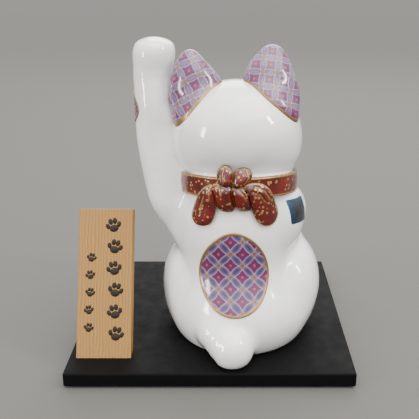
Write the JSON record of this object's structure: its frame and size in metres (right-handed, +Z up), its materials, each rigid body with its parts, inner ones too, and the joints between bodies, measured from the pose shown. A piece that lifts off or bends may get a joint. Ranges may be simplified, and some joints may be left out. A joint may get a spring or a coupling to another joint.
{
  "type": "beckoning cat figurine",
  "caption": "Sitting porcelain cat with its left paw raised, ribbon bow and bell, on a black display board with a leaning wooden name block.",
  "frame": {"origin": "on the ground under the middle of the display board", "axes": "+Z up; the cat faces -Y, so +X is the cat's left, the side of its raised paw"},
  "size_m": [0.22, 0.2, 0.2484],
  "materials": {
    "glaze": "gloss",
    "red_enamel": "gloss",
    "gold_enamel": "gloss",
    "foil": "satin",
    "lacquer": "satin",
    "felt": "matte",
    "pale_wood": "matte"
  },
  "bodies": {
    "board": {"display_board": "lacquer", "pad_front_left": "felt", "pad_front_right": "felt", "pad_back_left": "felt", "pad_back_right": "felt"},
    "cat": {"torso_casting": "glaze", "head_casting": "glaze", "raised_arm": "glaze", "ear_left": "glaze", "ear_right": "glaze", "hind_foot_left": "glaze", "hind_foot_right": "glaze", "tail": "glaze", "ribbon_band": "red_enamel", "bow_loop_left": "red_enamel", "bow_loop_right": "red_enamel", "bow_lobe_left": "red_enamel", "bow_lobe_right": "red_enamel", "bow_tail_left": "red_enamel", "bow_tail_right": "red_enamel", "bell": "gold_enamel", "foil_label": "foil"},
    "block": {"name_block": "pale_wood"}
  },
  "joints": [
    {"name": "cat_lift", "type": "slide", "parent": "board", "child": "cat", "axis": [0, 0, 1], "range_m": [0, 0.06]},
    {"name": "block_lift", "type": "slide", "parent": "board", "child": "block", "axis": [0, -0.4067, 0.9135], "range_m": [0, 0.03]}
  ]
}
